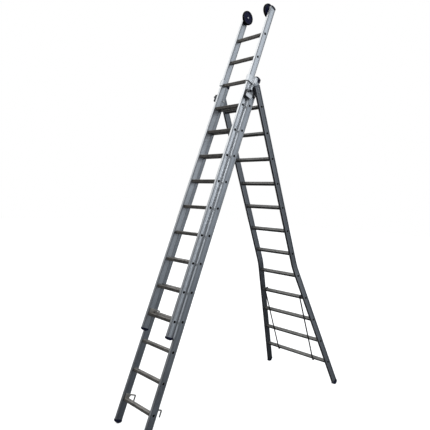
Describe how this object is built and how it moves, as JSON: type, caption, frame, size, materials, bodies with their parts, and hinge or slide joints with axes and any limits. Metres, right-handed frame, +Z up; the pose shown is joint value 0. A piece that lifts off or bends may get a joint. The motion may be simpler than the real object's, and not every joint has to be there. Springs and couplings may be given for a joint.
{
  "type": "combination extension ladder",
  "caption": "Aluminium ladder standing as an A-frame: a leaning section with a second one sliding up its front, and a rear section with outward-flared feet.",
  "frame": {"origin": "centre of the floor rectangle under the standing ladder", "axes": "+Z up, -Y towards the climber in front of the leaning sections, X across the ladder along the rungs"},
  "size_m": [0.9302, 2.3413, 3.7965],
  "materials": {
    "stile_aluminium": "mill-finished extrusion, lengthwise lines",
    "rung_aluminium": "ribbed extrusion, dull",
    "foot_rubber": "moulded, matt",
    "cap_plastic": "moulded, satin",
    "roller_plastic": "moulded, satin",
    "block_plastic": "moulded, matt",
    "dark_steel": "dark coated steel",
    "hook_steel": "dull galvanised steel",
    "bolt_steel": "zinc-plated",
    "strap_aluminium": "pressed sheet",
    "rivet_aluminium": "set rivets"
  },
  "bodies": {
    "middle_section": {"middle_stile_left": "stile_aluminium", "middle_stile_right": "stile_aluminium", "middle_rung_01": "rung_aluminium", "middle_rung_02": "rung_aluminium", "middle_rung_03": "rung_aluminium", "middle_rung_04": "rung_aluminium", "middle_rung_05": "rung_aluminium", "middle_rung_06": "rung_aluminium", "middle_rung_07": "rung_aluminium", "middle_rung_08": "rung_aluminium", "middle_rung_09": "rung_aluminium", "middle_rung_10": "rung_aluminium", "middle_rung_11": "rung_aluminium", "middle_rung_12": "rung_aluminium", "middle_feet": "foot_rubber", "middle_caps": "cap_plastic", "middle_hooks": "hook_steel", "guide_straps": "strap_aluminium", "guide_blocks": "block_plastic", "middle_rivets": "rivet_aluminium", "hinge_bolts": "bolt_steel"},
    "base_section": {"base_stile_left": "stile_aluminium", "base_stile_right": "stile_aluminium", "base_rung_01": "rung_aluminium", "base_rung_02": "rung_aluminium", "base_rung_03": "rung_aluminium", "base_rung_04": "rung_aluminium", "base_rung_05": "rung_aluminium", "base_rung_06": "rung_aluminium", "base_rung_07": "rung_aluminium", "base_rung_08": "rung_aluminium", "base_rung_09": "rung_aluminium", "base_rung_10": "rung_aluminium", "base_rung_11": "rung_aluminium", "base_rung_12": "rung_aluminium", "base_feet": "foot_rubber", "base_caps": "cap_plastic", "hinge_plates": "dark_steel", "base_rivets": "rivet_aluminium", "base_braces": "dark_steel"},
    "top_section": {"top_stile_left": "stile_aluminium", "top_stile_right": "stile_aluminium", "top_rung_01": "rung_aluminium", "top_rung_02": "rung_aluminium", "top_rung_03": "rung_aluminium", "top_rung_04": "rung_aluminium", "top_rung_05": "rung_aluminium", "top_rung_06": "rung_aluminium", "top_rung_07": "rung_aluminium", "top_rung_08": "rung_aluminium", "top_rung_09": "rung_aluminium", "top_rung_10": "rung_aluminium", "top_rung_11": "rung_aluminium", "top_rung_12": "rung_aluminium", "top_feet": "foot_rubber", "roller_brackets": "cap_plastic", "roller_axles": "bolt_steel", "top_hooks": "hook_steel"},
    "roller_left": {"roller_wheel_left": "roller_plastic"},
    "roller_right": {"roller_wheel_right": "roller_plastic"}
  },
  "joints": [
    {"name": "base_fold", "type": "hinge", "parent": "middle_section", "child": "base_section", "pos_m": [0, -0.08896, 2.86866], "axis": [-1, 0, 0], "range_deg": [0, 41]},
    {"name": "top_slide", "type": "slide", "parent": "middle_section", "child": "top_section", "axis": [0, 0.342, 0.9397], "range_m": [-0.75, 0.75]},
    {"name": "roller_left_spin", "type": "hinge", "parent": "top_section", "child": "roller_left", "pos_m": [0, 0.14205, 3.72851], "axis": [1, 0, 0], "continuous": true},
    {"name": "roller_right_spin", "type": "hinge", "parent": "top_section", "child": "roller_right", "pos_m": [0, 0.14205, 3.72851], "axis": [1, 0, 0], "continuous": true}
  ]
}
